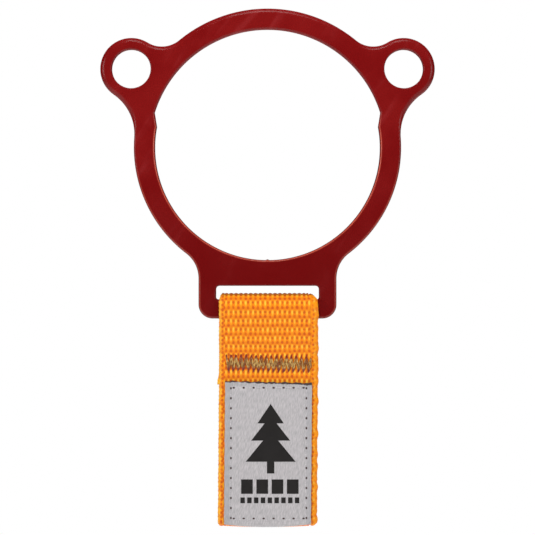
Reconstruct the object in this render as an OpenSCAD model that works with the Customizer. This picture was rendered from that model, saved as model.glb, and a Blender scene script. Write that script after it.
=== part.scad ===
// Accessory ring: a flat steel ring with two eyelets, and a sewn webbing tab on its slotted foot.
// Sizes in millimetres. The plate stands in the XZ plane and faces -Y. The origin is the centre of
// the ring, halfway through the plate, and the webbing hangs down from the foot along -Z.

/* [Ring] */
// Radius of the hole below the eyelets
ring_hole_r = 28.9; // [24:0.1:40]
// Width of the band all round
band_w = 5.4; // [4:0.1:9]
// How far the arch between the eyelets stands out from the lower band
arch_step = 1.45; // [0.6:0.05:2.5]
// Thickness of the plate
plate_t = 3; // [2:0.1:5]
// Angle above the horizontal where the hole starts to widen into the arch
step_low_angle = 10.6; // [5:0.1:12]
// Angle above the horizontal where the hole has the full width of the arch
step_high_angle = 17.2; // [14:0.1:24]

/* [Eyelets] */
// Radius of each eyelet hole
eyelet_r = 5; // [3:0.1:7]
// Wall around each eyelet hole
eyelet_wall = 3; // [2:0.1:5]
// Distance from the rim of the arch out to each eyelet's centre
eyelet_reach = 4.65; // [3:0.05:9]
// Angle of each eyelet above the horizontal
eyelet_angle = 30; // [24:1:40]
// Radius of the hollow between an eyelet and the arch
crown_fillet_r = 7; // [4:0.1:10]
// Radius of the long sweep from an eyelet down to the lower band
flank_fillet_r = 12.5; // [9:0.1:16]

/* [Foot and slot] */
// Plate left between the lower band's rim and the slot
slot_drop = 1.2; // [0.6:0.1:4]
// Height of the slot
slot_h = 3.5; // [3:0.1:6]
// Corner radius of the slot
slot_corner_r = 0.9; // [0.4:0.1:1.4]
// Free space in the slot at each edge of the webbing
slot_side_gap = 0.7; // [0.5:0.1:2]
// Width of the foot on each side of the slot
foot_side_w = 4.5; // [3:0.1:8]
// Radius of the foot's lower corners, where the foot's sides are wide enough for it
foot_corner_r = 3.6; // [1.5:0.1:4.8]
// Radius of the hollow between the foot and the band
foot_fillet_r = 8; // [5:0.1:12]
// Height of the bar that carries the webbing
bar_h = 4.9; // [4:0.1:7]
// Rounding along the edges of the bar
bar_edge_r = 0.8; // [0.5:0.05:0.95]

/* [Webbing] */
// Width of the webbing
strap_w = 25; // [20:0.5:40]
// Thickness of the webbing
strap_t = 1.4; // [1:0.05:1.8]
// Length of the hanging tab, from the middle of the bar to the bottom fold
strap_hang = 55.55; // [48:0.05:90]
// Running clearance of the webbing's eye around the bar
eye_gap = 0.12; // [0.08:0.01:0.4]
// Gap between webbing plies that lie together
ply_gap = 0.1; // [0.05:0.01:0.2]
// Sideways rest position of the webbing in the slot
strap_shift = 0.3; // [-0.3:0.05:0.3]
// Inside radius of the bottom fold
fold_r = 0.2; // [0.15:0.05:1.5]
// How far the back of the lower loop bows out
loop_bow = 5.4; // [4:0.1:12]
// Free space between the hidden end and the label's top row of stitches
hidden_end_gap = 0.6; // [0.3:0.1:1.2]
// Webbing that stands past the bar tack at the open end
end_margin = 0.3; // [0.2:0.1:0.6]
// Straight webbing between the bar tack and the bends of the eye
eye_lead = 0.6; // [0.5:0.1:1.5]

/* [Bar tack] */
// From the middle of the bar down to the top of the bar tack
tack_drop = 11.75; // [10:0.05:16]
// Height of the bar tack
tack_h = 4.5; // [3:0.1:6]
// Webbing left free at each end of the bar tack
tack_side_gap = 1.6; // [1:0.1:4]
// Number of zigzags
tack_count = 17; // [8:1:24]
// Slant of the bar tack, in degrees
tack_tilt = 1.2; // [0:0.1:2]
// Thickness of the tack thread
tack_thread = 0.45; // [0.3:0.05:0.6]

/* [Label] */
// Webbing left free at each side of the woven label
label_side_gap = 1.4; // [0.8:0.1:4]
// Webbing left free between the bar tack and the label
label_top_gap = 2.4; // [1.5:0.1:6]
// Webbing left free under the label
label_lift = 0.6; // [0.4:0.1:4]
// Thickness of the label
label_t = 0.35; // [0.2:0.05:0.6]
// Distance of the stitches from the label's edge
seam_inset = 1.45; // [1:0.05:3]
// Spacing of the stitches
stitch_pitch = 2.55; // [1.5:0.05:4]
// Length of one visible stitch
stitch_l = 1.5; // [0.8:0.05:1.5]
// Thickness of the label thread
stitch_t = 0.28; // [0.15:0.01:0.35]

/* [Hidden] */
$fn = 96;

// Ring
ring_rim_r = ring_hole_r + band_w;
arch_hole_r = ring_hole_r + arch_step;
arch_rim_r = arch_hole_r + band_w;

// Eyelets, on both sides of the arch
eyelet_rim_r = eyelet_r + eyelet_wall;
eyelet_dist = arch_rim_r + eyelet_reach;
eyelet_at = eyelet_dist * [cos(eyelet_angle), sin(eyelet_angle)];

// Foot, slot and bar
slot_w = strap_w + 2 * slot_side_gap;
slot_top_z = -(ring_rim_r + slot_drop);
foot_w = slot_w + 2 * foot_side_w;
foot_round_r = min(foot_corner_r, foot_side_w - 0.1);
foot_bottom_z = slot_top_z - slot_h - bar_h;
bar_z = foot_bottom_z + bar_h / 2;
foot_fillet_x = foot_w / 2 + foot_fillet_r;
foot_fillet_z = -sqrt(pow(ring_rim_r + foot_fillet_r, 2) - pow(foot_fillet_x, 2));

// Webbing, as y and z from the middle of the bar
bar_reach = norm([plate_t / 2 - bar_edge_r, bar_h / 2 - bar_edge_r]) + bar_edge_r;
eye_mid_r = bar_reach + eye_gap + strap_t / 2;
ply_pitch = strap_t + ply_gap;
front_y = -1.5 * ply_pitch;
inner_y = -0.5 * ply_pitch;
back_y = 0.5 * ply_pitch;
ply_join_z = eye_lead - tack_drop;
open_end_z = end_margin - tack_drop;
tack_end_z = -(tack_drop + tack_h);
fold_mid_r = fold_r + strap_t / 2;
fold_z = -(strap_hang - fold_r - strap_t);

// Faces that the sewing lies on
front_face_y = front_y - strap_t / 2;
loop_face_y = front_y + strap_t / 2;
back_face_y = back_y + strap_t / 2;

// Bar tack and label
tack_w = strap_w - 2 * tack_side_gap;
label_w = strap_w - 2 * label_side_gap;
label_top_z = tack_end_z - label_top_gap;
label_h = strap_hang - label_lift + label_top_z;
label_mid_z = label_top_z - label_h / 2;
hidden_end_z = label_top_z - seam_inset + stitch_t / 2 + hidden_end_gap;

// Centre of the circle that touches circle r1 around the origin and circle r2 around p from
// outside; side is 1 for the one anticlockwise of p and -1 for the other
function touching_centre(r1, p, r2, r, side) =
    let (
        a = r1 + r,
        b = norm(p),
        c = r2 + r,
        turn = acos((a * a + b * b - c * c) / (2 * a * b))
    )
    a * [cos(atan2(p[1], p[0]) + side * turn), sin(atan2(p[1], p[0]) + side * turn)];

function arc_points(c, r, a0, a1, n) =
    [for (i = [0 : n]) c + r * [cos(a0 + (a1 - a0) * i / n), sin(a0 + (a1 - a0) * i / n)]];

// Angle at which a line from p touches the eye; side is 1 behind the bar and -1 in front of it
function tangent_angle(p, r, side) = atan2(p[1], p[0]) + side * acos(r / norm(p));

// One point of the bowed back of the loop, for u from 0 at the fold to 1 at the bar tack
function bow_point(u) =
    let (
        y0 = front_y + 2 * fold_mid_r,
        ease = u * u * (3 - 2 * u),
        z1 = tack_end_z - end_margin
    )
    [y0 + (back_y - y0) * ease + loop_bow * pow(sin(180 * u), 1.5), fold_z + (z1 - fold_z) * u];

// Centre line of the webbing from its hidden end, up behind the bar, over it, down the front,
// round the bottom fold and up the back to the bar tack
inner_join = [inner_y, ply_join_z];
front_join = [front_y, ply_join_z];
strap_path = concat(
    [[inner_y, hidden_end_z], inner_join],
    arc_points([0, 0], eye_mid_r, tangent_angle(inner_join, eye_mid_r, 1),
               360 + tangent_angle(front_join, eye_mid_r, -1), 36),
    [front_join],
    arc_points([front_y + fold_mid_r, fold_z], fold_mid_r, 180, 360, 16),
    [for (i = [1 : 32]) bow_point(i / 32)],
    [[back_y, open_end_z]]
);

// Direction of the path at point i
function path_way(path, i) =
    let (
        before = path[max(i - 1, 0)],
        after = path[min(i + 1, len(path) - 1)]
    )
    (after - before) / norm(after - before);

function path_side(path, i, d) =
    let (way = path_way(path, i))
    path[i] + d * [-way[1], way[0]];

// Flat outline of a strip of thickness t along a path
module strip_outline(path, t) {
    last = len(path) - 1;
    polygon(concat(
        [for (i = [0 : last]) path_side(path, i, t / 2)],
        [for (i = [last : -1 : 0]) path_side(path, i, -t / 2)]
    ));
}

// Fills the corner between the ring and an eyelet up to a fillet circle
module eyelet_fillet(rim_r, r, side) {
    centre = touching_centre(rim_r, eyelet_at, eyelet_rim_r, r, side);
    difference() {
        polygon([[0, 0], eyelet_at, centre]);
        translate(centre) circle(r);
    }
}

module eyelet_ear() {
    translate(eyelet_at) circle(eyelet_rim_r);
    eyelet_fillet(arch_rim_r, crown_fillet_r, 1);
    eyelet_fillet(ring_rim_r, flank_fillet_r, -1);
}

// The arch: a wider ring, kept only between the two eyelets
module arch_disc() {
    reach = 2 * arch_rim_r;
    intersection() {
        circle(arch_rim_r);
        polygon([[0, 0], [reach, reach * tan(eyelet_angle)], [reach, reach],
                 [-reach, reach], [-reach, reach * tan(eyelet_angle)]]);
    }
}

// Half of the foot on the +X side, down to its rounded corner
module foot_half() {
    corner_x = foot_w / 2 - foot_round_r;
    corner_z = foot_bottom_z + foot_round_r;
    translate([0, corner_z]) square([foot_w / 2, -corner_z]);
    translate([0, foot_bottom_z]) square([corner_x, foot_round_r]);
    translate([corner_x, corner_z]) circle(foot_round_r);
    difference() {
        polygon([[0, 0], [foot_fillet_x, foot_fillet_z], [foot_w / 2, foot_fillet_z]]);
        translate([foot_fillet_x, foot_fillet_z]) circle(foot_fillet_r);
    }
}

// The hole: round below, and wider between the eyelets, with a short ramp on each side
module ring_hole() {
    reach = 2 * arch_hole_r;
    low = ring_hole_r * [cos(step_low_angle), sin(step_low_angle)];
    high = arch_hole_r * [cos(step_high_angle), sin(step_high_angle)];
    circle(ring_hole_r);
    intersection() {
        circle(arch_hole_r);
        polygon([low, high, [reach, high[1]], [reach, reach], [-reach, reach],
                 [-reach, high[1]], [-high[0], high[1]], [-low[0], low[1]]]);
    }
}

// The slot with its upper corners rounded, cut on through the bar, which is added again
module slot_cut() {
    r = slot_corner_r;
    depth = slot_h + bar_h + 1;
    translate([-slot_w / 2, slot_top_z - depth]) square([slot_w, depth - r]);
    translate([-slot_w / 2 + r, slot_top_z - 2 * r]) square([slot_w - 2 * r, 2 * r]);
    for (side = [-1, 1]) {
        translate([side * (slot_w / 2 - r), slot_top_z - r]) circle(r);
    }
}

module plate_outline() {
    difference() {
        union() {
            circle(ring_rim_r);
            arch_disc();
            for (side = [0, 1]) {
                mirror([side, 0]) eyelet_ear();
                mirror([side, 0]) foot_half();
            }
        }
        ring_hole();
        slot_cut();
        for (side = [0, 1]) {
            mirror([side, 0]) translate(eyelet_at) circle(eyelet_r);
        }
    }
}

// Section of the bar: y across the plate, z up
module bar_section() {
    square([plate_t - 2 * bar_edge_r, bar_h], center = true);
    square([plate_t, bar_h - 2 * bar_edge_r], center = true);
    for (sy = [-1, 1], sz = [-1, 1]) {
        translate([sy * (plate_t / 2 - bar_edge_r), sz * (bar_h / 2 - bar_edge_r)])
            circle(bar_edge_r);
    }
}

// Draws a front view outline as a plate centred on y
module as_plate(y, t) {
    translate([0, y, 0]) rotate([90, 0, 0]) linear_extrude(t, center = true) children();
}

// Draws a side view outline as a bar centred on x = 0
module as_bar(w) {
    rotate([90, 0, 90]) linear_extrude(w, center = true) children();
}

module at_strap() {
    translate([strap_shift, 0, bar_z]) children();
}

// Zigzag of thread, seen from the front and centred on the bar tack
module zigzag() {
    half_pitch = tack_w / tack_count / 2;
    rise = tack_thread / 2 * tack_h / half_pitch;
    ends = [for (i = [0 : 2 * tack_count]) [i * half_pitch - tack_w / 2, tack_h * (0.5 - i % 2)]];
    intersection() {
        polygon(concat(
            [for (i = [0 : len(ends) - 1]) ends[i] + [0, rise]],
            [for (i = [len(ends) - 1 : -1 : 0]) ends[i] - [0, rise]]
        ));
        square([tack_w, tack_h], center = true);
    }
}

module bar_tack(y) {
    translate([0, 0, -tack_drop - tack_h / 2]) rotate([0, tack_tilt, 0])
        as_plate(y, tack_thread) zigzag();
}

// A row of stitches along x, centred
module stitch_row(length) {
    count = floor(length / stitch_pitch);
    for (i = [0 : count - 1]) {
        translate([(i - (count - 1) / 2) * stitch_pitch, 0]) square([stitch_l, stitch_t], center = true);
    }
}

// Rows along the four sides of the label
module label_seam() {
    across = label_w - 2 * seam_inset;
    along = label_h - 2 * seam_inset;
    for (side = [-1, 1]) {
        translate([0, side * along / 2]) stitch_row(across);
        translate([side * across / 2, 0]) rotate(90) stitch_row(along);
    }
}

module ring_plate() {
    color("firebrick") {
        as_plate(0, plate_t) plate_outline();
        translate([0, 0, bar_z]) as_bar(slot_w + 2) bar_section();
    }
}

module webbing_loop() {
    color("orange") at_strap() as_bar(strap_w) strip_outline(strap_path, strap_t);
}

module tack_needle_thread() {
    color("darkgoldenrod") at_strap() bar_tack(front_face_y - tack_thread / 2);
}

module tack_bobbin_thread() {
    color("darkgoldenrod") at_strap() bar_tack(back_face_y + tack_thread / 2);
}

module woven_label() {
    color("lightgray") at_strap() translate([0, 0, label_mid_z])
        as_plate(front_face_y - label_t / 2, label_t) square([label_w, label_h], center = true);
}

module label_needle_thread() {
    color("dimgray") at_strap() translate([0, 0, label_mid_z])
        as_plate(front_face_y - label_t - stitch_t / 2, stitch_t) label_seam();
}

module label_bobbin_thread() {
    color("dimgray") at_strap() translate([0, 0, label_mid_z])
        as_plate(loop_face_y + stitch_t / 2, stitch_t) label_seam();
}

ring_plate();
webbing_loop();
tack_needle_thread();
tack_bobbin_thread();
woven_label();
label_needle_thread();
label_bobbin_thread();
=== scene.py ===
import math
import random

import bpy
import numpy as np
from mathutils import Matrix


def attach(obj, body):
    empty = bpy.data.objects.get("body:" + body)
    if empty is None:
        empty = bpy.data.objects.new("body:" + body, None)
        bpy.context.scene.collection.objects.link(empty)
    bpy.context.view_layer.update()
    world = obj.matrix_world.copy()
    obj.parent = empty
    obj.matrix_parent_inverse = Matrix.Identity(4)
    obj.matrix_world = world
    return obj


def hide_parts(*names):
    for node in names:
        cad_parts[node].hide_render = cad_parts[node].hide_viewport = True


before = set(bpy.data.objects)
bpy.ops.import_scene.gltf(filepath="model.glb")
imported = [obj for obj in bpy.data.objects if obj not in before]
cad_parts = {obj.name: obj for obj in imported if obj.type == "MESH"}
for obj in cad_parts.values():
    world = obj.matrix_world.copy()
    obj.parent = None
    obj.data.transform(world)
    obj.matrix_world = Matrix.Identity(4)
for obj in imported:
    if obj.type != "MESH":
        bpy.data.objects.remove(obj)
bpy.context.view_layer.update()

random.seed(7)


# the tab hangs a little out of plumb, and its bottom fold sags in the middle
hang = {
    "lean": 0.008, "pivot": -58.0, "leanTop": -57.0,
    "sag": 0.45, "sagFrom": -92.0, "sagFade": 3.0, "sagHalfWidth": 12.5,
}


def clearSelection():
    if bpy.context.object and bpy.context.object.mode != "OBJECT":
        bpy.ops.object.mode_set(mode="OBJECT")
    bpy.ops.object.select_all(action="DESELECT")


def pick(obj):
    clearSelection()
    obj.select_set(True)
    bpy.context.view_layer.objects.active = obj


def applyModifier(obj, kind, **settings):
    pick(obj)
    modifier = obj.modifiers.new(kind.title(), kind)
    for key, value in settings.items():
        setattr(modifier, key, value)
    bpy.ops.object.modifier_apply(modifier=modifier.name)


def getPoints(obj):
    points = np.empty(len(obj.data.vertices) * 3, np.float32)
    obj.data.vertices.foreach_get("co", points)
    return points.reshape(-1, 3).astype(float)


def setPoints(obj, points):
    obj.data.vertices.foreach_set("co", np.asarray(points, np.float32).ravel())
    obj.data.update()


def closeUp(obj, distance=1e-4):
    # merges doubles and turns every face outwards
    pick(obj)
    bpy.ops.object.mode_set(mode="EDIT")
    bpy.ops.mesh.select_all(action="SELECT")
    bpy.ops.mesh.remove_doubles(threshold=distance)
    bpy.ops.mesh.normals_make_consistent(inside=False)
    bpy.ops.mesh.select_all(action="DESELECT")
    bpy.ops.object.mode_set(mode="OBJECT")


def settle(obj, material, body, nodes):
    # pieces are modelled in millimetres, and are brought to metres here
    if body == "tab":
        points = getPoints(obj)
        middle = 1 - (points[:, 0] / hang["sagHalfWidth"]) ** 2
        low = smoothStep((hang["sagFrom"] - points[:, 2]) / hang["sagFade"])
        points[:, 2] -= hang["sag"] * middle * low
        points[:, 0] += hang["lean"] * (np.minimum(points[:, 2], hang["leanTop"]) - hang["pivot"])
        setPoints(obj, points)
    pick(obj)
    obj.scale = (0.001, 0.001, 0.001)
    bpy.ops.object.transform_apply(location=True, rotation=True, scale=True)
    bpy.ops.object.shade_smooth()
    obj.data.materials.clear()
    obj.data.materials.append(material)
    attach(obj, body)
    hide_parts(*nodes)
    print("made", obj.name, len(obj.data.polygons), "faces")


def newMaterial(name, **values):
    material = bpy.data.materials.new(name)
    material.use_nodes = True
    shader = material.node_tree.nodes["Principled BSDF"]
    for key, value in values.items():
        shader.inputs[key.replace("_", " ")].default_value = value
    return material, material.node_tree, shader


def addNode(tree, kind, inputs=None, **settings):
    node = tree.nodes.new("ShaderNode" + kind)
    for key, value in settings.items():
        setattr(node, key, value)
    for key, value in (inputs or {}).items():
        if isinstance(value, bpy.types.NodeSocket):
            tree.links.new(value, node.inputs[key])
        else:
            node.inputs[key].default_value = value
    return node


def calc(tree, operation, *values):
    return addNode(tree, "Math", dict(enumerate(values)), operation=operation).outputs[0]


def mix(tree, amount, first, second):
    return addNode(tree, "Mix", {0: amount, 2: first, 3: second}).outputs[0]


def mixColours(tree, amount, first, second):
    inputs = {0: amount, 6: first, 7: second}
    return addNode(tree, "Mix", inputs, data_type="RGBA").outputs[2]


def mapped(tree, value, low, high, toLow=0.0, toHigh=1.0):
    inputs = {"Value": value, "From Min": low, "From Max": high, "To Min": toLow, "To Max": toHigh}
    return addNode(tree, "MapRange", inputs, interpolation_type="SMOOTHSTEP").outputs[0]


def colour(red, green, blue):
    # from 0-255 screen values to the linear colour that a shader takes
    def linear(value):
        value /= 255
        return value / 12.92 if value <= 0.04045 else ((value + 0.055) / 1.055) ** 2.4
    return (linear(red), linear(green), linear(blue), 1.0)


def smoothStep(value):
    value = np.clip(value, 0.0, 1.0)
    return value * value * (3 - 2 * value)


# the camera, lights and floor
view = {
    "distance": 0.573, "height": -0.0308, "lens": 150, "sensor": 36,
    "floorHeight": -0.30, "floorSize": 2.2, "floorGlow": 0.22,
    "backdrop": 0.90, "fill": 0.10, "glossyFill": -0.07,
}

cameraData = bpy.data.cameras.new("camera")
cameraData.lens = view["lens"]
cameraData.sensor_width = view["sensor"]
camera = bpy.data.objects.new("camera", cameraData)
camera.location = (0.0, -view["distance"], view["height"])
camera.rotation_euler = (math.radians(90), 0, 0)
bpy.context.scene.collection.objects.link(camera)
bpy.context.scene.camera = camera


def softLight(name, place, aim, size, power):
    data = bpy.data.lights.new(name, "AREA")
    data.shape = "DISK"
    data.size = size
    data.energy = power
    light = bpy.data.objects.new(name, data)
    bpy.context.scene.collection.objects.link(light)
    light.location = place
    way = np.array(aim, float) - np.array(place, float)
    flat = math.hypot(way[0], way[1])
    light.rotation_euler = (math.atan2(flat, -way[2]), 0, math.atan2(-way[0], way[1]))
    return light


softLight("keyLight", (-0.05, -0.32, 0.36), (0, 0, -0.02), 0.20, 1.66).visible_glossy = False
softLight("topLight", (0.0, -0.24, 0.42), (0, 0, 0), 0.22, 0.55)
softLight("leftLight", (-0.70, -0.50, 0.10), (0, 0, -0.03), 0.40, 1.6)
softLight("rightLight", (0.70, -0.55, 0.06), (0, 0, -0.03), 0.40, 1.4)
softLight("lowLight", (0.0, -0.75, -0.55), (0, 0, -0.08), 0.35, 0.6)
softLight("backLight", (0.25, 0.9, 0.45), (0, 0, -0.05), 0.8, 7.5).visible_glossy = False
softLight("floorLight", (0.0, 0.5, 1.2), (0, 0.1, -0.3), 1.2, 9.0).visible_glossy = False

# white behind the object, and a dimmer even light from all round
world = bpy.data.worlds.new("studio")
bpy.context.scene.world = world
world.use_nodes = True
worldTree = world.node_tree
background = worldTree.nodes["Background"]
background.inputs["Color"].default_value = (1, 1, 1, 1)
rays = worldTree.nodes.new("ShaderNodeLightPath")
strength = calc(
    worldTree, "MULTIPLY_ADD", rays.outputs["Is Camera Ray"], view["backdrop"], view["fill"]
)
strength = calc(
    worldTree, "MULTIPLY_ADD", rays.outputs["Is Glossy Ray"], view["glossyFill"], strength
)
worldTree.links.new(strength, background.inputs["Strength"])
bpy.context.scene.view_settings.view_transform = "Standard"

clearSelection()
bpy.ops.mesh.primitive_grid_add(
    x_subdivisions=2, y_subdivisions=2, size=view["floorSize"],
    location=(0, 0, view["floorHeight"])
)
floor = bpy.context.object
floor.name = "floor"
bpy.ops.object.transform_apply(location=True, rotation=True, scale=True)
floorMaterial, _, floorShader = newMaterial("paleFloor", Roughness=0.9)
floorShader.inputs["Base Color"].default_value = (0.93, 0.93, 0.92, 1)
floorShader.inputs["Emission Color"].default_value = (1, 1, 1, 1)
floorShader.inputs["Emission Strength"].default_value = view["floorGlow"]
floor.data.materials.append(floorMaterial)
print("camera, lights and floor are set")


# the ring plate
plate = {
    "holeR": 28.9, "rimR": 34.3, "archHoleR": 30.35, "archRimR": 35.75,
    "stepLow": 10.6, "stepHigh": 17.2,
    "eyeletDistance": 40.4, "eyeletAngle": 30, "eyeletR": 5.0, "earR": 8.0,
    "crownFilletR": 7.0, "flankFilletR": 12.5, "footFilletR": 8.0,
    "footHalfWidth": 17.7, "footBottom": -43.9, "footCornerR": 3.6,
    "slotHalfWidth": 13.2, "slotTop": -35.5, "slotBottom": -39.0,
    "slotCornerR": 0.9, "slotLowCornerR": 0.6,
    "thickness": 3.0,
    # rounding of the edges, and the height over which the band's grows into the arch's
    "archRound": 1.45, "bandRound": 0.6, "holeRound": 0.6, "eyeletRound": 0.35,
    "roundFrom": 3.0, "roundOver": 6.0,
    "barRound": 0.85, "barHalfWidth": 13.7, "barTop": -36.4, "barFadeX": 0.6, "barFadeZ": 1.2,
    # the start of the cut, at the lowest point of the hole
    "markDepth": 0.2, "markHalfWidth": 0.35, "markFade": 0.5, "markTop": -28.0, "markBottom": -30.5,
    # the painted rim lines, a painted highlight line and a painted shade line at the very edge: how
    # far down they start on the hole and on the outside, and how they lie
    "holeLinesTop": 9.0, "holeLinesFade": 5.0, "outerLinesTop": -3.0, "outerLinesFade": 6.0,
    "outerLinesShare": 0.5, "rimLinesReach": 0.7, "lightLine": 0.30, "lightHalfWidth": 0.13,
    "darkHalfWidth": 0.12,
    # distances between points, and the rings that step in from the edge
    "pointSpacing": 0.5, "cornerSpacing": 0.2, "markSpacing": 0.15, "markAngle": -87,
    "leastSpacing": 0.05,
    "gaps": (1.48, 1.45, 1.2, 0.96, 0.75, 0.57, 0.41, 0.27, 0.16, 0.08, 0.03, 0.0),
}


def arc(centre, radius, start, end, spacing=None):
    spacing = spacing or plate["pointSpacing"]
    count = max(4, math.ceil(abs(math.radians(end - start)) * radius / spacing))
    angles = [math.radians(start + (end - start) * i / count) for i in range(count + 1)]
    return [(centre[0] + radius * math.cos(a), centre[1] + radius * math.sin(a)) for a in angles]


def joined(*runs):
    points = []
    for run in runs:
        for point in run:
            if not points or math.dist(point, points[-1]) > plate["leastSpacing"]:
                points.append(point)
    return points


def mirrored(right):
    # a closed outline from its right half
    return right + [(-x, z) for x, z in reversed(right) if x > 0.001]


def angleOf(fromPoint, toPoint):
    return math.degrees(math.atan2(toPoint[1] - fromPoint[1], toPoint[0] - fromPoint[0]))


def touchingCentre(r1, p, r2, r, side):
    # centre of the circle r that touches r1 about the middle and r2 about p
    a, b, c = r1 + r, math.hypot(*p), r2 + r
    turn = math.acos((a * a + b * b - c * c) / (2 * a * b))
    way = math.atan2(p[1], p[0]) + side * turn
    return (a * math.cos(way), a * math.sin(way))


def outerOutline():
    middle = (0.0, 0.0)
    earAngle = math.radians(plate["eyeletAngle"])
    earDistance = plate["eyeletDistance"]
    ear = (earDistance * math.cos(earAngle), earDistance * math.sin(earAngle))
    crown = touchingCentre(plate["archRimR"], ear, plate["earR"], plate["crownFilletR"], 1)
    flank = touchingCentre(plate["rimR"], ear, plate["earR"], plate["flankFilletR"], -1)
    footX = plate["footHalfWidth"] + plate["footFilletR"]
    foot = (footX, -math.sqrt((plate["rimR"] + plate["footFilletR"]) ** 2 - footX ** 2))
    cornerR = plate["footCornerR"]
    corner = (plate["footHalfWidth"] - cornerR, plate["footBottom"] + cornerR)
    right = joined(
        arc(middle, plate["archRimR"], 90, angleOf(middle, crown)),
        arc(crown, plate["crownFilletR"], angleOf(middle, crown) - 180, angleOf(crown, ear)),
        arc(ear, plate["earR"], angleOf(ear, crown), angleOf(ear, flank)),
        arc(flank, plate["flankFilletR"], angleOf(flank, ear), angleOf(middle, flank) + 180),
        arc(middle, plate["rimR"], angleOf(middle, flank), angleOf(middle, foot)),
        arc(foot, plate["footFilletR"], angleOf(middle, foot) + 180, 180),
        arc(corner, cornerR, 0, -90),
    )
    return mirrored(right)


def holeOutline():
    middle = (0.0, 0.0)
    low, high, mark = plate["stepLow"], plate["stepHigh"], plate["markAngle"]
    right = joined(
        arc(middle, plate["archHoleR"], 90, high),
        arc(middle, plate["holeR"], low, mark),
        arc(middle, plate["holeR"], mark, -90, plate["markSpacing"]),
    )
    return mirrored(right)


def slotOutline():
    high, low, half = plate["slotCornerR"], plate["slotLowCornerR"], plate["slotHalfWidth"]
    spacing = plate["cornerSpacing"]
    right = joined(
        arc((half - high, plate["slotTop"] - high), high, 90, 0, spacing),
        arc((half - low, plate["slotBottom"] + low), low, 0, -90, spacing),
    )
    return mirrored(right)


def filledShape(name, outlines):
    curve = bpy.data.curves.new(name, "CURVE")
    curve.dimensions = "2D"
    curve.fill_mode = "BOTH"
    for points in outlines:
        spline = curve.splines.new("POLY")
        spline.points.add(len(points) - 1)
        for place, (x, z) in zip(spline.points, points):
            place.co = (x, z, 0, 1)
        spline.use_cyclic_u = True
    obj = bpy.data.objects.new(name, curve)
    bpy.context.scene.collection.objects.link(obj)
    pick(obj)
    bpy.ops.object.convert(target="MESH")
    obj = bpy.context.object
    obj.rotation_euler = (math.radians(90), 0, 0)
    bpy.ops.object.transform_apply(location=False, rotation=True, scale=False)
    return obj


def offsetOutline(points, distance, inwards):
    # moves a closed outline sideways, into the metal
    points = np.array(points)
    before = points - np.roll(points, 1, axis=0)
    after = np.roll(points, -1, axis=0) - points
    sides = []
    for run in (before, after):
        run = run / np.linalg.norm(run, axis=1, keepdims=True)
        sides.append(np.stack([-run[:, 1], run[:, 0]], axis=1))
    nextX, nextZ = np.roll(points[:, 0], -1), np.roll(points[:, 1], -1)
    area = (points[:, 0] * nextZ - nextX * points[:, 1]).sum()
    way = (sides[0] + sides[1]) / (1 + (sides[0] * sides[1]).sum(1, keepdims=True))
    turn = 1 if (area > 0) == inwards else -1
    return points + way * distance * turn


def selectRim(obj):
    # the open edge of the mesh, in edit mode
    pick(obj)
    bpy.ops.object.mode_set(mode="EDIT")
    bpy.ops.mesh.select_mode(type="EDGE")
    bpy.ops.mesh.select_all(action="DESELECT")
    bpy.ops.mesh.select_non_manifold(
        extend=False, use_wire=False, use_multi_face=False,
        use_non_contiguous=False, use_verts=False, use_boundary=True
    )


def extrudeRim(obj):
    # pulls a new rim off the open edge, and returns which vertices it has
    selectRim(obj)
    bpy.ops.mesh.extrude_region_move(TRANSFORM_OT_translate={"value": (0, 0, 0)})
    bpy.ops.mesh.select_mode(type="VERT")
    bpy.ops.object.mode_set(mode="OBJECT")
    chosen = np.empty(len(obj.data.vertices), bool)
    obj.data.vertices.foreach_get("select", chosen)
    return chosen


def plateOutlines():
    # the outside, the hole, the slot and the two eyelets
    angle = math.radians(plate["eyeletAngle"])
    x, z = plate["eyeletDistance"] * math.cos(angle), plate["eyeletDistance"] * math.sin(angle)
    eyelets = [arc((side * x, z), plate["eyeletR"], 0, 360)[:-1] for side in (1, -1)]
    return [outerOutline(), holeOutline(), slotOutline(), *eyelets]


def makePlate():
    # half of the plate's thickness: the front face, then rings out to every edge, then a mirror
    outlines = plateOutlines()
    inset = [[offsetOutline(o, gap, i == 0) for i, o in enumerate(outlines)]
             for gap in plate["gaps"]]
    rings = [np.concatenate(parts) for parts in inset]
    obj = filledShape("ringPlateCoated", inset[0])
    # each point's outline: 0 the outside, 1 the hole, 2 the slot, 3 and 4 the eyelets
    owners = np.concatenate([np.full(len(o), i) for i, o in enumerate(outlines)])
    gaps = np.full(len(obj.data.vertices), plate["gaps"][0])
    owner = np.zeros(len(gaps), int)
    for ring, nextRing, gap in zip(rings, rings[1:], plate["gaps"][1:]):
        chosen = extrudeRim(obj)
        points = getPoints(obj)
        moved = points[chosen][:, [0, 2]]
        match = np.array([np.argmin(((ring - place) ** 2).sum(1)) for place in moved])
        points[np.flatnonzero(chosen)[:, None], [0, 2]] = nextRing[match]
        setPoints(obj, points)
        gaps = np.concatenate([gaps, np.full(len(points) - len(gaps), gap)])
        gaps[chosen] = gap
        owner = np.concatenate([owner, np.zeros(len(points) - len(owner), int)])
        owner[chosen] = owners[match]
    points = roundedEdges(getPoints(obj), gaps, owner)
    setPoints(obj, points)
    paintRimLines(obj, points[:, 2], gaps, owner)
    chosen = extrudeRim(obj)
    points = getPoints(obj)
    points[chosen, 1] = 0.0
    setPoints(obj, points)
    applyModifier(obj, "MIRROR", use_axis=(False, True, False), use_clip=True,
                  merge_threshold=0.001)
    closeUp(obj, 0.0005)
    return obj


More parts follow.
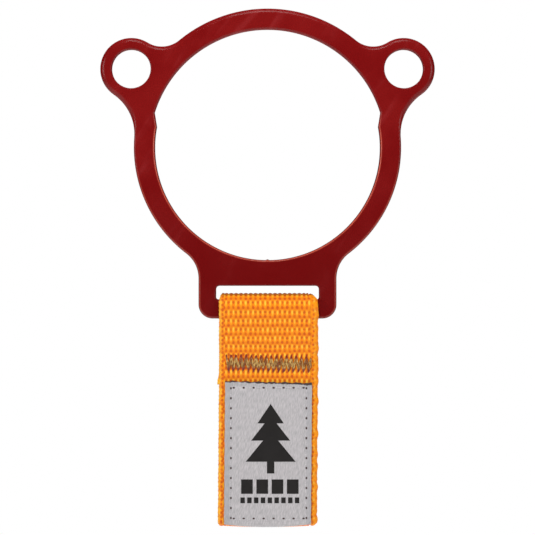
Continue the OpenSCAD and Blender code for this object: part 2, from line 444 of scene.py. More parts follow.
def roundedEdges(points, gaps, owner):
    # large round the arch and ears, small on the band, foot and holes
    x, z = np.abs(points[:, 0]), points[:, 2]
    inArch = smoothStep((z - plate["roundFrom"]) / plate["roundOver"])
    radius = plate["bandRound"] + (plate["archRound"] - plate["bandRound"]) * inArch
    radius = np.where(owner == 1, plate["holeRound"], radius)
    radius = np.where(owner > 1, plate["eyeletRound"], radius)
    inBar = smoothStep((plate["barHalfWidth"] - x) / plate["barFadeX"])
    inBar = inBar * smoothStep((plate["barTop"] - z) / plate["barFadeZ"])
    radius = radius + (plate["barRound"] - radius) * inBar
    inside = np.clip(radius - gaps, 0, None)
    points[:, 1] = -plate["thickness"] / 2 + radius - np.sqrt(radius ** 2 - inside ** 2)
    # the small mark that the cutting start left at the lowest point of the hole
    atMark = (z < plate["markTop"]) & (z > plate["markBottom"])
    bump = np.exp(-(x / plate["markHalfWidth"]) ** 2 - (gaps / plate["markFade"]) ** 2)
    points[:, 2] += np.where(atMark, plate["markDepth"] * bump, 0)
    return points


def paintRimLines(obj, z, gaps, owner):
    # a painted highlight line, with a painted shade line at the very edge, along the edges of the
    # lower half, where the rounded edges catch the light
    onHole = smoothStep((plate["holeLinesTop"] - z) / plate["holeLinesFade"]) * (owner == 1)
    outside = smoothStep((plate["outerLinesTop"] - z) / plate["outerLinesFade"]) * (owner == 0)
    paintedShading = onHole + plate["outerLinesShare"] * outside
    paintedShading = np.where(gaps < plate["rimLinesReach"], paintedShading * (0.85 + 0.15 * np.sin(z * 0.9)), 0)
    lines = {
        "rimLight": np.exp(-((gaps - plate["lightLine"]) / plate["lightHalfWidth"]) ** 2),
        "rimDark": np.exp(-(gaps / plate["darkHalfWidth"]) ** 2),
    }
    for name, values in lines.items():
        layer = obj.data.attributes.new(name, "FLOAT", "POINT")
        layer.data.foreach_set("value", (values * paintedShading).astype(np.float32))


def powderCoat():
    material, tree, shader = newMaterial("redPowderCoat", Specular_IOR_Level=0.25)
    coordinates = addNode(tree, "TexCoord")
    place = coordinates.outputs["Object"]

    def noise(scale, detail, **more):
        inputs = {"Vector": place, "Scale": scale, "Detail": detail, **more}
        return addNode(tree, "TexNoise", inputs).outputs[0]

    # the cut sides are duller than the two faces
    normal = addNode(tree, "SeparateXYZ", {0: coordinates.outputs["Normal"]})
    facing = calc(tree, "ABSOLUTE", normal.outputs[1])
    peel = noise(950.0, 2.0, Roughness=0.45)
    wave = noise(85.0, 1.0, Roughness=0.4)
    cloud = noise(70.0, 3.0, Roughness=0.6)
    speck = noise(4200.0, 1.0)
    cloudy = mapped(tree, cloud, 0.35, 0.65)
    tone = mixColours(tree, cloudy, colour(116, 12, 13), colour(124, 17, 17))
    tone = mixColours(tree, mapped(tree, speck, 0.62, 0.8, 0.0, 0.35), tone, colour(88, 8, 9))
    # painted reflection: faint slanted lighter streaks, standing in for soft reflections on the
    # coat
    slanted = addNode(tree, "Mapping", {"Vector": place, "Rotation": (0, -0.6, 0)}).outputs[0]
    slanted = addNode(tree, "Mapping", {"Vector": slanted, "Scale": (330.0, 40.0, 45.0)}).outputs[0]
    paintedReflection = noise(1.0, 2.0, Vector=slanted, Distortion=0.6)
    paintedReflection = calc(tree, "MULTIPLY", mapped(tree, paintedReflection, 0.52, 0.72),
                  mapped(tree, cloud, 0.42, 0.62, 0.0, 0.35))
    tone = mixColours(tree, paintedReflection, tone, colour(146, 44, 46))
    # painted shade: the coat is painted a little darker toward the foot, where less light falls
    level = addNode(tree, "SeparateXYZ", {0: place}).outputs[2]
    low = mapped(tree, level, -0.036, 0.006, 0.75, 0.0)
    tone = mixColours(tree, low, tone, colour(103, 9, 10))
    # the painted highlight line and the painted shade line along the lower edges
    for name, shade in (("rimLight", colour(220, 104, 82)), ("rimDark", colour(58, 4, 6))):
        rim = addNode(tree, "Attribute", attribute_name=name).outputs["Fac"]
        tone = mixColours(tree, calc(tree, "MULTIPLY", rim, 0.8), tone, shade)
    tree.links.new(tone, shader.inputs["Base Color"])
    shine = mapped(tree, facing, 0.1, 0.5)
    gloss = mix(tree, shine, 0.85, mapped(tree, cloud, 0.3, 0.7, 0.21, 0.29))
    tree.links.new(gloss, shader.inputs["Roughness"])
    slow = addNode(tree, "Bump", {"Height": wave, "Strength": 0.5, "Distance": 0.0007})
    fine = addNode(tree, "Bump", {
        "Height": peel, "Strength": 0.18, "Distance": 0.00012, "Normal": slow.outputs[0],
    })
    tree.links.new(fine.outputs[0], shader.inputs["Normal"])
    return material


ringPlate = makePlate()
settle(ringPlate, powderCoat(), "plate", ["ring_plate"])


# the webbing
webbing = {
    "width": 25.0, "thickness": 1.4, "left": -12.2, "barHeight": -41.45,
    # the route in the side view
    "frontY": -2.25, "innerY": -0.75, "backY": 0.75, "eyeR": 3.412,
    "joinBelowBar": 11.15, "hiddenEnd": -19.36, "foldR": 0.9, "foldCentre": -53.95,
    "backEnd": -11.45, "bowTop": -16.55, "bow": 5.4,
    # the weave's cell, and the points it is drawn with
    "column": 1.25, "columnStart": -0.24, "repeat": 4.42,
    "crownShift": 0.5, "dotShift": 0.6, "shadeShift": 0.85,
    "relief": 0.40, "edgeRound": 0.55, "columnPoints": 6, "repeatPoints": 12, "edgePoints": 4,
    # a row of dips stands at rowHeight on the front, and makeWebbing() finds the phase for it
    "rowHeight": -55.9, "phase": 0.0,
    # the two selvedges
    "leftEdge": 1.0, "chain": 24.1, "chainWave": 0.13, "chainHalf": 0.8,
    "loopReach": 1.3, "edgeBulge": 0.22,
    # how the strip is pulled sideways at its hidden end and over the bar
    "endShift": 0.45, "rightPull": 1.1, "leftPull": 0.35,
}


def tangentAngle(p, r, side):
    # where a line from p touches the circle r about the middle
    return math.atan2(p[1], p[0]) + side * math.acos(r / math.hypot(*p))


def webbingPath():
    # (y, z) from the hidden end, behind and over the bar, down the front, round the fold and up
    w = webbing
    innerJoin = (w["innerY"], -w["joinBelowBar"])
    frontJoin = (w["frontY"], -w["joinBelowBar"])
    points = [(w["innerY"], w["hiddenEnd"]), innerJoin]
    start = tangentAngle(innerJoin, w["eyeR"], 1)
    end = 2 * math.pi + tangentAngle(frontJoin, w["eyeR"], -1)
    for angle in np.linspace(start, end, 91):
        points.append((w["eyeR"] * math.cos(angle), w["eyeR"] * math.sin(angle)))
    points.append(frontJoin)
    foldY = w["frontY"] + w["foldR"]
    for angle in np.linspace(math.pi, 2 * math.pi, 41):
        points.append((foldY + w["foldR"] * math.cos(angle),
                       w["foldCentre"] + w["foldR"] * math.sin(angle)))
    lowY = w["frontY"] + 2 * w["foldR"]
    for u in np.linspace(0, 1, 81)[1:]:
        ease = u * u * (3 - 2 * u)
        bow = w["bow"] * math.sin(math.pi * min(u, 0.999999)) ** 1.5
        points.append((lowY + (w["backY"] - lowY) * ease + bow,
                       w["foldCentre"] + (w["bowTop"] - w["foldCentre"]) * u))
    points.append((w["backY"], w["backEnd"]))
    return np.array(points) + [0.0, w["barHeight"]]


def alongPath(path, distances):
    # place and outward side of the path at each distance from its start
    steps = np.linalg.norm(np.diff(path, axis=0), axis=1)
    total = np.concatenate([[0], np.cumsum(steps)])
    small = 0.12

    def at(d):
        d = np.clip(d, 0, total[-1])
        return np.stack([np.interp(d, total, path[:, i]) for i in (0, 1)], axis=-1)

    way = at(distances + small) - at(distances - small)
    way /= np.linalg.norm(way, axis=-1, keepdims=True)
    return at(distances), np.stack([way[..., 1], -way[..., 0]], axis=-1)


def wrapped(value, span):
    # distance from the nearest multiple of span
    return (value + span / 2) % span - span / 2


def rightCord(v):
    # middle line of the chain that closes the right edge
    return webbing["chain"] + webbing["chainWave"] * np.sin(2 * np.pi * v / webbing["repeat"])


def weaveHeight(u, v):
    # 0 between the yarns and 1 on the crown of a float; u across and v along, in mm
    w = webbing
    height = np.zeros_like(u)
    for shift in (0, 1):
        across = wrapped(u - w["columnStart"] - shift * w["column"] / 2, w["column"])
        along = wrapped(v - w["phase"] - shift * w["repeat"] / 2, w["repeat"])
        fromFloat = wrapped(along - w["repeat"] / 2, w["repeat"])
        floats = 1 - (across / 0.6) ** 2 - (np.abs(fromFloat) / 1.85) ** 2.4
        dips = 1 - (across / 0.34) ** 2 - (np.abs(along) / 0.62) ** 2
        height = np.maximum(height, np.sqrt(np.clip(floats, 0, None)))
        height = np.maximum(height, 0.5 * np.sqrt(np.clip(dips, 0, None)))
    # ribs on the left selvedge, and a chain on the right one
    rib = np.sqrt(np.clip(1 - (wrapped(v - w["phase"], w["repeat"] / 4) / 0.62) ** 2, 0, None))
    height = np.where(u < w["leftEdge"], 0.35 + 0.65 * rib, height)
    cord = np.sqrt(np.clip(1 - ((u - rightCord(v)) / 0.62) ** 2, 0, None))
    cord *= 0.72 + 0.28 * np.cos(2 * np.pi * v / (w["repeat"] / 2))
    return np.where(u > w["chain"] - w["chainHalf"], np.maximum(cord, 0.15), height)


def dipPhase(path, length):
    # the phase that puts a row of dips at the stated height on the front
    w = webbing
    steps = np.linspace(0, length, 4000)
    place, _ = alongPath(path, steps)
    front = (place[:, 0] < w["frontY"] + 0.05) & (place[:, 1] < -53)
    row = steps[front][np.argmin(np.abs(place[front, 1] - w["rowHeight"]))]
    return (row - w["repeat"] / 2) % w["repeat"]


def makeWebbing():
    w = webbing
    path = webbingPath()
    length = np.linalg.norm(np.diff(path, axis=0), axis=1).sum()
    w["phase"] = dipPhase(path, length)
    acrossCount = round(w["width"] / w["column"] * w["columnPoints"])
    sideCount = w["edgePoints"]
    roundCount = 2 * acrossCount + 2 * sideCount
    rowCount = round(length / (w["repeat"] / w["repeatPoints"]))
    clearSelection()
    bpy.ops.mesh.primitive_grid_add(x_subdivisions=roundCount, y_subdivisions=rowCount, size=2)
    obj = bpy.context.object
    obj.name = "webbingTab"
    grid = getPoints(obj)
    columns = np.unique(np.round(grid[:, 0], 5))
    roundIndex = np.searchsorted(columns, np.round(grid[:, 0], 5))
    v = (grid[:, 1] + 1) / 2 * length
    # round the section: front face left to right, right edge, back face, left edge
    firstBack = acrossCount + sideCount
    lastBack = firstBack + acrossCount
    onFront = roundIndex <= acrossCount
    onRight = (roundIndex > acrossCount) & (roundIndex < firstBack)
    onBack = (roundIndex >= firstBack) & (roundIndex <= lastBack)
    onLeft = roundIndex > lastBack
    u = np.zeros(len(grid))
    u[onFront] = roundIndex[onFront] / acrossCount
    u[onRight] = 1.0
    u[onBack] = 1 - (roundIndex[onBack] - firstBack) / acrossCount
    u *= w["width"]
    face = np.zeros(len(grid))
    face[onFront] = 1.0
    face[onBack] = -1.0
    face[onRight] = np.cos((roundIndex[onRight] - acrossCount) / sideCount * np.pi)
    face[onLeft] = -np.cos((roundIndex[onLeft] - lastBack) / sideCount * np.pi)
    # the strip's own thickness, thinner at the edges
    fromEdge = np.minimum(u, w["width"] - u)
    edge = np.clip(fromEdge / w["edgeRound"], 0, 1)
    half = w["thickness"] / 2 * (0.42 + 0.58 * np.sqrt(1 - (1 - edge) ** 2))
    half = half - w["relief"] * (1 - weaveHeight(u, v)) * (0.35 + 0.65 * edge)
    out = face * half
    # scalloped edges, the right one with longer and uneven loops
    loops = 0.09 * np.cos(2 * np.pi * (v - w["phase"]) / (w["repeat"] / 4)) + 0.05 * np.sin(v * 0.7)
    rightLoops = 0.09 * np.sin(v * 1.42) + 0.07 * np.sin(v * 2.31 + 1) + 0.06 * np.sin(v * 0.83)
    x = w["left"] + u
    rim = np.clip(1 - fromEdge / w["loopReach"], 0, 1)
    x += np.where(u < w["width"] / 2, -rim * loops * 0.6, rim * (rightLoops - 0.05))
    bulge = np.sqrt(np.clip(1 - np.abs(face) ** 2, 0, 1)) * w["edgeBulge"]
    x += np.where(onRight, bulge, 0) - np.where(onLeft, bulge, 0)
    # the hidden end sits a little to the left, and both edges are drawn in over the bar
    x -= w["endShift"] * smoothStep((3.0 - v) / 2.5)
    place, side = alongPath(path, v)
    overBar = smoothStep((place[:, 1] - (w["barHeight"] + 2.0)) / 1.6)
    x -= overBar * w["rightPull"] * smoothStep((u - 20) / 5) ** 2
    x += overBar * w["leftPull"] * smoothStep((2.0 - u) / 2)
    y, z = place[:, 0] + side[:, 0] * out, place[:, 1] + side[:, 1] * out
    setPoints(obj, np.stack([x, y, z], axis=1))
    # the flat lie of the weave, kept as the UV map in millimetres
    layer = obj.data.uv_layers[0]
    layer.name = "weave"
    corners = np.empty(len(obj.data.loops), int)
    obj.data.loops.foreach_get("vertex_index", corners)
    lie = np.stack([u[corners], v[corners]], axis=1)
    layer.data.foreach_set("uv", lie.astype(np.float32).ravel())
    closeUp(obj, 0.002)
    # close the two cut ends
    selectRim(obj)
    bpy.ops.mesh.fill()
    bpy.ops.mesh.select_all(action="SELECT")
    bpy.ops.mesh.normals_make_consistent(inside=False)
    bpy.ops.mesh.select_mode(type="VERT")
    bpy.ops.object.mode_set(mode="OBJECT")
    return obj, length


def webbingCloth():
    w = webbing
    material, tree, shader = newMaterial(
        "orangeWebbing", Roughness=0.6, Sheen_Weight=0.03, Specular_IOR_Level=0.3
    )
    lie = addNode(tree, "UVMap", uv_map="weave").outputs[0]
    wobble = addNode(tree, "TexNoise", {"Vector": lie, "Scale": 0.8, "Detail": 2.0})
    split = addNode(tree, "SeparateXYZ", {0: lie})
    shake = addNode(tree, "SeparateXYZ", {0: wobble.outputs["Color"]})

    def square(value, size):
        part = calc(tree, "DIVIDE", value, size)
        return calc(tree, "MULTIPLY", part, part)

    def shaken(axis, reach):
        offset = calc(tree, "MULTIPLY", calc(tree, "SUBTRACT", shake.outputs[axis], 0.5), reach)
        return calc(tree, "ADD", split.outputs[axis], offset)

    def repeated(value, start, span):
        return calc(tree, "WRAP", calc(tree, "SUBTRACT", value, start), -span / 2, span / 2)

    # each mark's distance from its middle, 1 at its rim
    u, v = shaken(0, 0.3), shaken(1, 0.55)
    column, repeat, phase = w["column"], w["repeat"], w["phase"]
    rib, halfRepeat = repeat / 4, repeat / 2
    dots, dips, crowns = [], [], []
    for shift in (0, 1):
        across = square(repeated(u, w["columnStart"] + shift * column / 2, column), 1.0)
        along = repeated(v, phase + shift * halfRepeat, repeat)
        fromDot = calc(tree, "SUBTRACT", calc(tree, "ABSOLUTE", along), w["dotShift"])
        crownStart = phase - w["crownShift"] + (shift + 1) * halfRepeat
        fromFloat = repeated(v, crownStart, repeat)
        for marks, width, part, length in (
            (dots, 0.090, fromDot, 0.34),
            (dips, 0.10, along, 0.95),
            (crowns, 0.078, fromFloat, 0.70),
        ):
            sideways = calc(tree, "DIVIDE", across, width)
            marks.append(calc(tree, "ADD", sideways, square(part, length)))
    dot, dip, crown = (calc(tree, "MINIMUM", *pair) for pair in (dots, dips, crowns))
    # the left edge has one row of small dips, and the right edge a chain
    leftAcross = square(calc(tree, "SUBTRACT", u, 0.72), 0.30)
    leftDot = calc(tree, "ADD", leftAcross, square(repeated(v, phase, rib), 0.34))
    atLeft = calc(tree, "LESS_THAN", split.outputs[0], w["leftEdge"])
    dot = mix(tree, atLeft, dot, leftDot)
    crown = mix(tree, atLeft, crown, square(calc(tree, "SUBTRACT", u, 0.1), 0.45))
    wave = calc(tree, "SINE", calc(tree, "MULTIPLY", split.outputs[1], 2 * math.pi / repeat))
    cord = calc(tree, "MULTIPLY_ADD", wave, w["chainWave"], w["chain"])
    fromCord = calc(tree, "SUBTRACT", split.outputs[0], cord)
    knotAcross = square(calc(tree, "SUBTRACT", fromCord, 0.15), 0.4)
    knot = calc(tree, "ADD", knotAcross, square(repeated(v, 0.0, halfRepeat), 0.6))
    atRight = calc(tree, "GREATER_THAN", split.outputs[0], w["chain"] - w["chainHalf"])
    crown = mix(tree, atRight, crown, knot)
    rightAcross = square(calc(tree, "ADD", fromCord, 0.25), 0.26)
    rightDot = calc(tree, "ADD", rightAcross, square(repeated(v, phase, rib), 0.30))
    dot = mix(tree, atRight, dot, rightDot)
    dip = mix(tree, atRight, dip, 5.0)
    # the yarn's own colour, with a painted highlight on the crowns and painted shade in the dips
    patchy = addNode(tree, "TexNoise", {"Vector": lie, "Scale": 0.45, "Detail": 3.0}).outputs[0]
    fibreLie = addNode(tree, "Mapping", {"Vector": lie, "Scale": (9.0, 1.2, 1.0)}).outputs[0]
    fibres = addNode(tree, "TexNoise", {"Vector": fibreLie, "Scale": 1.6, "Detail": 3.0}).outputs[0]
    streaky = mapped(tree, fibres, 0.3, 0.7)
    yarn = mixColours(tree, streaky, colour(245, 137, 5), colour(250, 160, 9))
    lit = calc(tree, "MULTIPLY", mapped(tree, crown, 0.1, 1.4, 1.0, 0.0),
               mapped(tree, patchy, 0.34, 0.64, 1.0, 0.45))
    yarn = mixColours(tree, lit, yarn, colour(255, 196, 60))
    tone = mixColours(tree, mapped(tree, dip, 0.3, 1.4, 0.5, 0.0), yarn, colour(240, 112, 10))
    # the lower end of each row of floats lies in its own shade
    fromShade = calc(tree, "ABSOLUTE", repeated(v, phase + w["shadeShift"], halfRepeat))
    shade = calc(tree, "MULTIPLY", mapped(tree, fromShade, 0.1, 0.62, 0.6, 0.0),
                 mapped(tree, patchy, 0.3, 0.7, 0.5, 1.0))
    tone = mixColours(tree, shade, tone, colour(226, 100, 10))
    dotAmount = calc(tree, "MULTIPLY", mapped(tree, dot, 0.0, 2.3, 0.85, 0.0),
                     mapped(tree, patchy, 0.3, 0.62, 0.55, 1.0))
    tone = mixColours(tree, dotAmount, tone, colour(200, 74, 20))
    # painted shade along the top of the eye, where the cloth curves away from the light
    place = addNode(tree, "TexCoord").outputs["Object"]
    level = addNode(tree, "SeparateXYZ", {0: place}).outputs[2]
    level = calc(tree, "ADD", level, calc(tree, "MULTIPLY", fibres, 0.0003))
    paintedTopShade = mapped(tree, level, -0.0381, -0.0373, 0.0, 0.8)
    tone = mixColours(tree, paintedTopShade, tone, colour(112, 44, 6))
    tree.links.new(tone, shader.inputs["Base Color"])
    bump = addNode(tree, "Bump", {"Height": fibres, "Strength": 0.35, "Distance": 0.00012})
    tree.links.new(bump.outputs[0], shader.inputs["Normal"])
    return material


webbingTab, webbingLength = makeWebbing()
settle(webbingTab, webbingCloth(), "tab", ["webbing_loop"])
print("webbing strip is", round(webbingLength, 1), "mm long")


# the bar tack
tack = {
    "middle": (0.3, -55.3), "width": 21.8, "height": 4.9, "count": 17, "tilt": 1.2,
    "mainR": 0.15, "overR": 0.10, "frontFace": -2.95, "backFace": 1.45, "overHeight": 2.5,
    "sideJitter": 0.07, "endJitter": (-0.18, 0.12), "stitchSteps": 6,
}


def makeThread(name, runs, radius):
    curve = bpy.data.curves.new(name, "CURVE")
    curve.dimensions = "3D"
    curve.bevel_depth = radius
    curve.bevel_resolution = 1
    curve.use_fill_caps = True
    for run in runs:
        spline = curve.splines.new("POLY")
        spline.points.add(len(run) - 1)
        for place, point in zip(spline.points, run):
            place.co = (*point, 1)
    obj = bpy.data.objects.new(name, curve)
    bpy.context.scene.collection.objects.link(obj)
    pick(obj)
    bpy.ops.object.convert(target="MESH")
    return bpy.context.object


def zigzagRun(height, shift, base, rise, dive, out, order):
    # base is the cloth's face; out is -1 in front and 1 behind
    t = tack
    halfPitch = t["width"] / t["count"] / 2
    tips = []
    for i in range(2 * t["count"] + 1):
        up = 1 if (i + order) % 2 == 0 else -1
        x = -t["width"] / 2 + i * halfPitch + shift
        x += random.uniform(-t["sideJitter"], t["sideJitter"])
        z = (height / 2 + random.uniform(*t["endJitter"])) * up
        tips.append((x, z))
    run = []
    tilt = math.radians(t["tilt"])
    for (x0, z0), (x1, z1) in zip(tips, tips[1:]):
        for step in range(t["stitchSteps"]):
            part = step / t["stitchSteps"]
            x, z = x0 + (x1 - x0) * part, z0 + (z1 - z0) * part
            lift = (rise + dive) * math.sin(math.pi * part) ** 0.55 - dive
            run.append((t["middle"][0] + x * math.cos(tilt) + z * math.sin(tilt),
                        base + out * lift,
                        t["middle"][1] + z * math.cos(tilt) - x * math.sin(tilt)))
    return run


def makeTack(name, base, out):
    # two passes of long stitches, then a row of short ones across their middle
    pieces = [
        makeThread(name, [
            zigzagRun(tack["height"], -0.09, base, 0.18, 0.30, out, 0),
            zigzagRun(tack["height"] * 0.93, 0.09, base, 0.26, 0.30, out, 0),
        ], tack["mainR"]),
        makeThread(name + "Over", [
            zigzagRun(tack["overHeight"], 0.32, base, 0.42, 0.0, out, 1),
        ], tack["overR"]),
    ]
    clearSelection()
    for piece in pieces:
        piece.select_set(True)
    bpy.context.view_layer.objects.active = pieces[0]
    bpy.ops.object.join()
    closeUp(pieces[0])
    return pieces[0]


def tackThread():
    material, tree, shader = newMaterial("tackThread", Roughness=0.45, Sheen_Weight=0.15)
    place = addNode(tree, "TexCoord").outputs["Object"]
    split = addNode(tree, "SeparateXYZ", {0: place})
    slope = math.tan(math.radians(tack["tilt"]))
    level = calc(tree, "ADD", split.outputs[2], calc(tree, "MULTIPLY", split.outputs[0], slope))
    level = calc(tree, "SUBTRACT", level, tack["middle"][1] / 1000)
    fromMiddle = calc(tree, "ABSOLUTE", level)
    drawn = addNode(tree, "Mapping", {"Vector": place, "Scale": (2.4, 1.0, 0.7)}).outputs[0]
    strands = addNode(tree, "TexNoise", {"Vector": drawn, "Scale": 1500.0, "Detail": 2.0})
    strands = strands.outputs[0]
    patchy = addNode(tree, "TexNoise", {"Vector": drawn, "Scale": 520.0, "Detail": 1.0}).outputs[0]
    lit = mapped(tree, strands, 0.38, 0.62)
    yarn = mixColours(tree, lit, colour(140, 84, 18), colour(214, 178, 104))
    # painted shade: darker maroon-brown patches on the thread
    paintedShading = mapped(tree, patchy, 0.46, 0.62, 0.0, 0.8)
    yarn = mixColours(tree, paintedShading, yarn, colour(126, 56, 20))
    # painted shade, with a painted red bounce from the orange webbing: the ends of the long
    # stitches, where they dive into the needle holes, are darker and redder than the middle
    tone = mixColours(tree, mapped(tree, fromMiddle, 0.0009, 0.0016), yarn, colour(132, 30, 12))
    tree.links.new(tone, shader.inputs["Base Color"])
    bump = addNode(tree, "Bump", {"Height": strands, "Strength": 0.5, "Distance": 0.00008})
    tree.links.new(bump.outputs[0], shader.inputs["Normal"])
    return material


tackMaterial = tackThread()
frontTack = makeTack("barTackFront", tack["frontFace"], -1)
settle(frontTack, tackMaterial, "tab", ["tack_needle_thread"])
backTack = makeTack("barTackBack", tack["backFace"], 1)
settle(backTack, tackMaterial, "tab", ["tack_bobbin_thread"])


# the woven label and its seam
label = {
    "middle": (0.3, -78.25), "width": 22.2, "height": 36.3, "thickness": 0.35, "face": -2.95,
    "cell": 0.3, "foldCentre": (-1.35, -95.4), "foldOuterR": 1.6,
    # the seam
    "seamInset": 1.45, "pitch": 2.55, "dimple": 0.22, "dimpleR": 0.5,
    "threadR": 0.10, "threadRise": 0.36, "threadDive": 0.30, "threadLift": 0.09,
    "stitchSteps": 6, "backFace": -1.55,
    # the picture, in millimetres from the label's middle: tiers as top, bottom and half width,
    # and rows of blocks as bottom, top, pitch, block width and count
    "pictureX": 0.5, "tiers": ((12.6, 7.6, 3.4), (9.6, 3.2, 5.0), (5.6, -2.2, 6.4)),
    "trunk": (-2.0, -5.2, 0.95), "blocksX": 0.3,
    "blocks": ((-10.4, -6.7, 3.9, 3.0, 4), (-12.8, -11.3, 1.74, 1.15, 9)),
}


def seamSides():
    # each side's distance from the label's middle, its stitch count and whether it is upright
    across = label["width"] / 2 - label["seamInset"]
    along = label["height"] / 2 - label["seamInset"]
    for reach, length, upright in ((along, across, False), (across, along, True)):
        count = int(2 * length / label["pitch"])
        for side in (-1, 1):
            yield side * reach, count, upright


def seamHoles():
    # (x, z) of the needle holes from the label's middle
    holes = []
    for reach, count, upright in seamSides():
        for i in range(count + 1):
            step = (i - count / 2) * label["pitch"]
            holes.append((reach, step) if upright else (step, reach))
    return holes


def labelFace(x, z):
    # y of the label's back, which lies on the webbing and follows its bottom fold
    foldY, foldZ = label["foldCentre"]
    r = label["foldOuterR"]
    below = np.clip(foldZ - z, 0, r * 0.98)
    return np.where(z < foldZ, foldY - np.sqrt(r ** 2 - below ** 2), label["face"])


def makeLabel():
    b = label
    clearSelection()
    bpy.ops.mesh.primitive_grid_add(
        x_subdivisions=round(b["width"] / b["cell"]), y_subdivisions=round(b["height"] / b["cell"]),
        size=2, rotation=(math.radians(90), 0, 0)
    )
    obj = bpy.context.object
    obj.name = "labelCloth"
    bpy.ops.object.transform_apply(location=False, rotation=True, scale=False)
    points = getPoints(obj)
    fx, fz = points[:, 0].copy(), points[:, 2].copy()
    dx, dz = fx * b["width"] / 2, fz * b["height"] / 2
    x = b["middle"][0] + dx
    z = b["middle"][1] + dz
    # the edges are a little wavy, and the bottom one sags in the middle
    nearTop, nearBottom = smoothStep((fz - 0.8) / 0.2), smoothStep((-fz - 0.8) / 0.2)
    z += nearTop * (0.10 * np.sin(dx * 1.9) + 0.06 * np.sin(dx * 4.7 + 1) - 0.024 * dx)
    z -= nearBottom * 0.42 * (1 - fx ** 2)
    x += (1 - fx ** 2 < 0.2) * 0.03 * np.sin(dz * 1.3)
    # it stands off the webbing at its edges, and is drawn in along the seam and at each hole
    lift = 0.02 + 0.05 * np.sin(dx * 0.9 + 1) * np.sin(dz * 0.5)
    free = np.minimum(b["width"] / 2 - np.abs(dx), b["height"] / 2 - np.abs(dz))
    lift += 0.12 * smoothStep((1.0 - free) / 1.0) * (0.6 + 0.4 * np.sin(dx * 2.3 + dz * 2.9))
    lift += 0.16 * smoothStep((dz - b["height"] / 2 + 0.9) / 0.9)
    lift -= 0.10 * np.exp(-((free - b["seamInset"]) / 0.5) ** 2)
    for hx, hz in seamHoles():
        near = ((dx - hx) ** 2 + (dz - hz) ** 2) / b["dimpleR"] ** 2
        lift -= b["dimple"] * np.exp(-near * 2)
    y = labelFace(x, z) - b["thickness"] - np.clip(lift, -0.3, 0.25)
    setPoints(obj, np.stack([x, y, z], axis=1))
    applyModifier(obj, "SOLIDIFY", thickness=b["thickness"] * 0.8, offset=-1)
    applyModifier(obj, "BEVEL", width=0.06, segments=2, limit_method="ANGLE",
                  angle_limit=math.radians(50))
    closeUp(obj)
    return obj


def seamRuns(face, out):
    # the thread dips into each needle hole; out is -1 in front and 1 behind
    b = label
    runs = []
    for reach, count, upright in seamSides():
        run = []
        for i in range(count):
            start = (i - count / 2) * b["pitch"]
            for step in range(b["stitchSteps"] + 1):
                part = step / b["stitchSteps"]
                place = start + b["pitch"] * (0.08 + 0.84 * part)
                lift = b["threadRise"] * math.sin(math.pi * part) ** 0.5 - b["threadDive"]
                dx, dz = (reach, place) if upright else (place, reach)
                run.append((b["middle"][0] + dx, face + out * lift, b["middle"][1] + dz))
        runs.append(run)
    return runs


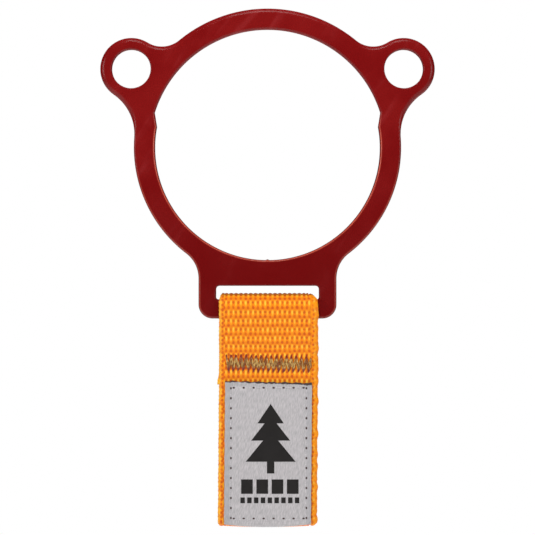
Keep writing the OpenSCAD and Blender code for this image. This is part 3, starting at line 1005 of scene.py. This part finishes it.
def labelCloth():
    b = label
    material, tree, shader = newMaterial("labelCloth", Roughness=0.55, Sheen_Weight=0.06)
    place = addNode(tree, "TexCoord").outputs["Object"]
    local = addNode(tree, "Mapping", {
        "Vector": place, "Location": (-b["middle"][0], 0, -b["middle"][1]),
        "Scale": (1000, 1000, 1000),
    }).outputs[0]
    split = addNode(tree, "SeparateXYZ", {0: local})
    x, z = split.outputs[0], split.outputs[2]

    def below(low, high):
        return calc(tree, "LESS_THAN", low, high)

    def both(first, second):
        return calc(tree, "MULTIPLY", first, second)

    def distance(value, middle):
        return calc(tree, "ABSOLUTE", calc(tree, "SUBTRACT", value, middle))

    def square(value, size):
        part = calc(tree, "ABSOLUTE", calc(tree, "DIVIDE", value, size))
        return calc(tree, "POWER", part, 2.0)

    # slanted satin floats
    slant = calc(tree, "SUBTRACT", x, calc(tree, "MULTIPLY", z, 0.22))
    satinPlace = addNode(tree, "CombineXYZ", {
        0: calc(tree, "MULTIPLY", slant, 4.5), 2: calc(tree, "MULTIPLY", z, 0.7),
    }).outputs[0]
    satin = addNode(tree, "TexNoise", {"Vector": satinPlace, "Scale": 1.0, "Detail": 2.0})
    satin = satin.outputs[0]
    picks = calc(tree, "SINE", calc(tree, "MULTIPLY", z, 26.0))
    ends = calc(tree, "SINE", calc(tree, "MULTIPLY", slant, 31.0))
    grain = calc(tree, "MULTIPLY", picks, ends)
    sheen = mapped(tree, satin, 0.3, 0.7)
    cloth = mixColours(tree, sheen, colour(167, 164, 166), colour(196, 191, 193))
    # the side margins are a little darker
    edge = calc(tree, "ABSOLUTE", x)
    margin = mapped(tree, edge, b["width"] / 2 - 1.9, b["width"] / 2 - 0.9, 0.0, 0.45)
    cloth = mixColours(tree, margin, cloth, colour(158, 157, 161))
    # the woven picture: a plain fir tree over two rows of plain blocks
    fromAxis = distance(x, b["pictureX"])
    dark = None
    for top, bottom, halfWidth in b["tiers"]:
        slope = halfWidth / (top - bottom)
        reach = calc(tree, "MULTIPLY", calc(tree, "SUBTRACT", top, z), slope)
        tier = both(below(fromAxis, reach), both(below(z, top), below(bottom, z)))
        dark = tier if dark is None else calc(tree, "MAXIMUM", dark, tier)
    top, bottom, halfWidth = b["trunk"]
    trunk = both(below(fromAxis, halfWidth), both(below(z, top), below(bottom, z)))
    dark = calc(tree, "MAXIMUM", dark, trunk)
    for low, high, pitch, blockWidth, count in b["blocks"]:
        start = b["blocksX"] - pitch * count / 2
        fromStart = calc(tree, "SUBTRACT", x, start + pitch / 2)
        cell = calc(tree, "WRAP", fromStart, -pitch / 2, pitch / 2)
        row = both(below(calc(tree, "ABSOLUTE", cell), blockWidth / 2),
                   both(below(z, high), below(low, z)))
        row = both(row, below(distance(x, b["blocksX"]), pitch * count / 2))
        dark = calc(tree, "MAXIMUM", dark, row)
    inFront = below(split.outputs[1], b["face"] - b["thickness"] * 0.5)
    dark = both(dark, inFront)
    cloth = mixColours(tree, dark, cloth, colour(14, 8, 7))
    # painted shade in the open needle holes, which look dark
    holes = None
    pitch = b["pitch"]
    sideReach, endReach = b["width"] / 2 - b["seamInset"], b["height"] / 2 - b["seamInset"]
    for spot, length, line, reach in ((x, sideReach, z, endReach), (z, endReach, x, sideReach)):
        cell = calc(tree, "WRAP", calc(tree, "SUBTRACT", spot, 0.5 * pitch), -pitch / 2, pitch / 2)
        fromLine = calc(tree, "SUBTRACT", calc(tree, "ABSOLUTE", line), reach)
        gap = calc(tree, "ADD", square(cell, 0.34), square(fromLine, 0.26))
        beyond = below(length + 0.4, calc(tree, "ABSOLUTE", spot))
        gap = calc(tree, "ADD", gap, calc(tree, "MULTIPLY", beyond, 9.0))
        holes = gap if holes is None else calc(tree, "MINIMUM", holes, gap)
    cloth = mixColours(tree, mapped(tree, holes, 0.4, 1.3, 1.0, 0.0), cloth, colour(58, 34, 30))
    # painted shadow under the lifted top edge, together with the dark hot-cut edge
    ragged = addNode(tree, "TexNoise", {"Vector": local, "Scale": 0.9, "Detail": 2.0}).outputs[0]
    topLineWobble = calc(tree, "ADD", calc(tree, "MULTIPLY", x, -0.036), ragged)
    fromTop = calc(tree, "SUBTRACT", calc(tree, "ADD", b["height"] / 2 - 0.25, topLineWobble), z)
    topShadowAndSinge = mapped(tree, fromTop, 0.52, 0.72, 0.95, 0.0)
    cloth = mixColours(tree, topShadowAndSinge, cloth, colour(46, 20, 14))
    tree.links.new(cloth, shader.inputs["Base Color"])
    height = calc(tree, "ADD", calc(tree, "MULTIPLY", grain, 0.25), satin)
    bump = addNode(tree, "Bump", {"Height": height, "Strength": 0.3, "Distance": 0.00008})
    tree.links.new(bump.outputs[0], shader.inputs["Normal"])
    return material


def labelThread():
    material, tree, shader = newMaterial("labelThread", Roughness=0.5, Sheen_Weight=0.2)
    place = addNode(tree, "TexCoord").outputs["Object"]
    strands = addNode(tree, "TexNoise", {"Vector": place, "Scale": 5200.0, "Detail": 2.0})
    strands = strands.outputs[0]
    lit = mapped(tree, strands, 0.35, 0.65)
    tone = mixColours(tree, lit, colour(176, 172, 176), colour(216, 212, 214))
    tree.links.new(tone, shader.inputs["Base Color"])
    bump = addNode(tree, "Bump", {"Height": strands, "Strength": 0.4, "Distance": 0.00006})
    tree.links.new(bump.outputs[0], shader.inputs["Normal"])
    return material


labelPiece = makeLabel()
settle(labelPiece, labelCloth(), "tab", ["woven_label"])
seamMaterial = labelThread()
seamFace = label["face"] - label["thickness"] + label["threadLift"]
frontSeam = makeThread("labelSeamFront", seamRuns(seamFace, -1), label["threadR"])
closeUp(frontSeam)
settle(frontSeam, seamMaterial, "tab", ["label_needle_thread"])
backSeam = makeThread("labelSeamBack", seamRuns(label["backFace"], 1), label["threadR"])
closeUp(backSeam)
settle(backSeam, seamMaterial, "tab", ["label_bobbin_thread"])

clearSelection()
